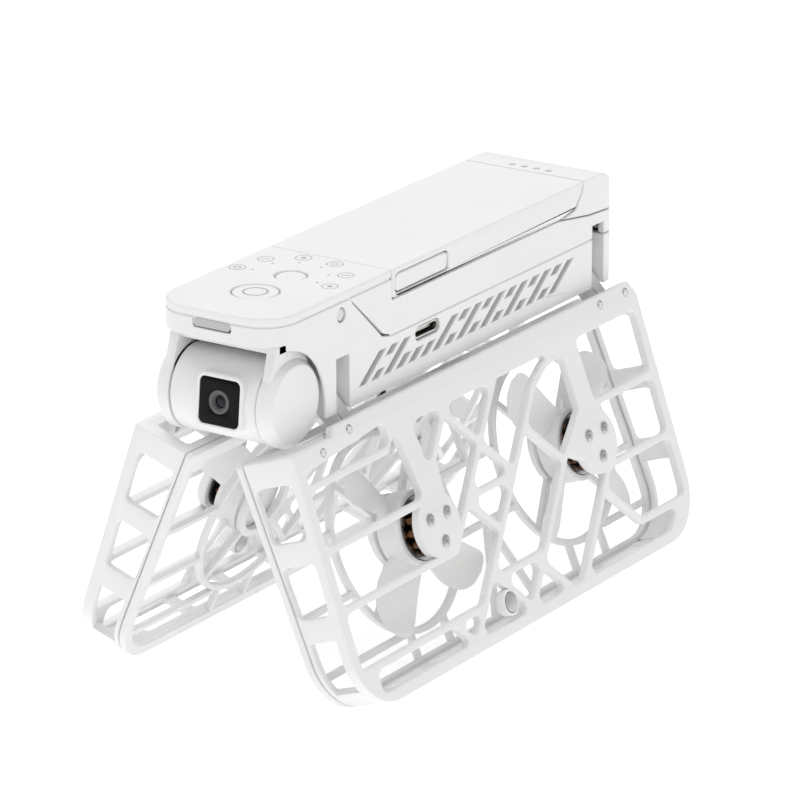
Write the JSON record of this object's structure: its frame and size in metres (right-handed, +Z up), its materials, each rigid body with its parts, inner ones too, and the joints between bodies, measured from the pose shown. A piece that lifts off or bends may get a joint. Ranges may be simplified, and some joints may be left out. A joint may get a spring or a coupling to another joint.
{
  "type": "mini palm drone",
  "caption": "Mini palm drone: slim white body with a nose camera on a tilting gimbal, standing on fold-down propeller cages of diagonal lattice.",
  "frame": {"origin": "middle of the footprint, on the plane that the cages' inner tip edges stand on", "axes": "+Z up, nose and camera towards -Y, +X to the drone's left-hand side as it flies, where the charging port is"},
  "size_m": [0.072, 0.1298, 0.0803],
  "materials": {
    "shell_white": "fine satin moulding texture",
    "cage_white": "satin, slightly fibrous glass-filled moulding",
    "light_guide": "translucent light guide",
    "black_glass": "polished black window",
    "lens_glass": "coated lens",
    "dark_plastic": "black moulding",
    "board_green": "solder mask",
    "heat_sink_metal": "brushed",
    "bare_steel": "nickel-plated screws, pins and magnets",
    "cell_wrap": "foil pouch cells in dark wrap",
    "copper_winding": "enamelled windings",
    "motor_steel": "machined bell"
  },
  "bodies": {
    "airframe": {"lower_shell": "shell_white", "upper_frame": "shell_white", "rear_cap": "shell_white", "control_panel": "shell_white", "front_light_bar": "light_guide", "tail_status_lights": "light_guide", "downward_sensor_window": "black_glass", "main_board": "board_green", "heat_sink": "heat_sink_metal", "charging_port": "bare_steel", "gimbal_yoke": "shell_white", "gimbal_bay_liner": "dark_plastic", "side_screw_left": "bare_steel", "side_screw_right": "bare_steel", "hinge_pin_left_front": "bare_steel", "hinge_pin_left_rear": "bare_steel", "hinge_pin_right_front": "bare_steel", "hinge_pin_right_rear": "bare_steel"},
    "power_key": {"power_button": "shell_white"},
    "mode_key": {"mode_button": "shell_white"},
    "battery_pack": {"battery_case": "shell_white", "battery_cells": "cell_wrap"},
    "latch_key_left": {"battery_latch_left": "shell_white"},
    "latch_key_right": {"battery_latch_right": "shell_white"},
    "camera_head": {"gimbal_barrel": "shell_white", "camera_window": "black_glass", "lens_barrel": "dark_plastic", "lens_element": "lens_glass", "image_sensor": "dark_plastic"},
    "cage_left": {"cage_frame_left": "cage_white", "cage_cover_left": "cage_white", "latch_magnet_left": "bare_steel", "hinge_arm_left_front": "cage_white", "hinge_arm_left_rear": "cage_white", "arm_screw_left_front_1": "bare_steel", "arm_screw_left_front_2": "bare_steel", "arm_screw_left_rear_1": "bare_steel", "arm_screw_left_rear_2": "bare_steel", "motor_stator_left_front": "copper_winding", "motor_stator_left_rear": "copper_winding"},
    "cage_right": {"cage_frame_right": "cage_white", "cage_cover_right": "cage_white", "latch_magnet_right": "bare_steel", "hinge_arm_right_front": "cage_white", "hinge_arm_right_rear": "cage_white", "arm_screw_right_front_1": "bare_steel", "arm_screw_right_front_2": "bare_steel", "arm_screw_right_rear_1": "bare_steel", "arm_screw_right_rear_2": "bare_steel", "motor_stator_right_front": "copper_winding", "motor_stator_right_rear": "copper_winding"},
    "rotor_left_front": {"motor_bell_left_front": "motor_steel", "propeller_left_front": "cage_white"},
    "rotor_left_rear": {"motor_bell_left_rear": "motor_steel", "propeller_left_rear": "cage_white"},
    "rotor_right_front": {"motor_bell_right_front": "motor_steel", "propeller_right_front": "cage_white"},
    "rotor_right_rear": {"motor_bell_right_rear": "motor_steel", "propeller_right_rear": "cage_white"}
  },
  "joints": [
    {"name": "power_press", "type": "slide", "parent": "airframe", "child": "power_key", "axis": [0, 0, -1], "range_m": [0, 0.0005], "stiffness_N_per_m": 300, "springref_m": -0.0005},
    {"name": "mode_press", "type": "slide", "parent": "airframe", "child": "mode_key", "axis": [0, 0, -1], "range_m": [0, 0.0005], "stiffness_N_per_m": 300, "springref_m": -0.0005},
    {"name": "battery_lift", "type": "slide", "parent": "airframe", "child": "battery_pack", "axis": [0, 0, 1], "range_m": [0, 0.015]},
    {"name": "latch_press_left", "type": "slide", "parent": "battery_pack", "child": "latch_key_left", "axis": [1, 0, 0], "range_m": [0, 0.0006], "stiffness_N_per_m": 300, "springref_m": -0.0005},
    {"name": "latch_press_right", "type": "slide", "parent": "battery_pack", "child": "latch_key_right", "axis": [-1, 0, 0], "range_m": [0, 0.0006], "stiffness_N_per_m": 300, "springref_m": -0.0005},
    {"name": "camera_pitch", "type": "hinge", "parent": "airframe", "child": "camera_head", "pos_m": [0, -0.05509, 0.0612], "axis": [1, 0, 0], "range_deg": [-14, 90]},
    {"name": "cage_fold_left", "type": "hinge", "parent": "airframe", "child": "cage_left", "pos_m": [-0.00785, -0.00009, 0.064], "axis": [0, 1, 0], "range_deg": [-18.9, 71.1]},
    {"name": "cage_fold_right", "type": "hinge", "parent": "airframe", "child": "cage_right", "pos_m": [0.00785, -0.00009, 0.064], "axis": [0, -1, 0], "range_deg": [-18.9, 71.1]},
    {"name": "propeller_spin_left_front", "type": "hinge", "parent": "cage_left", "child": "rotor_left_front", "pos_m": [-0.02045, -0.02389, 0.0272], "axis": [-0.9461, 0, 0.3239], "continuous": true},
    {"name": "propeller_spin_left_rear", "type": "hinge", "parent": "cage_left", "child": "rotor_left_rear", "pos_m": [-0.02045, 0.03661, 0.0272], "axis": [-0.9461, 0, 0.3239], "continuous": true},
    {"name": "propeller_spin_right_front", "type": "hinge", "parent": "cage_right", "child": "rotor_right_front", "pos_m": [0.02045, -0.02389, 0.0272], "axis": [0.9461, 0, 0.3239], "continuous": true},
    {"name": "propeller_spin_right_rear", "type": "hinge", "parent": "cage_right", "child": "rotor_right_rear", "pos_m": [0.02045, 0.03661, 0.0272], "axis": [0.9461, 0, 0.3239], "continuous": true}
  ]
}
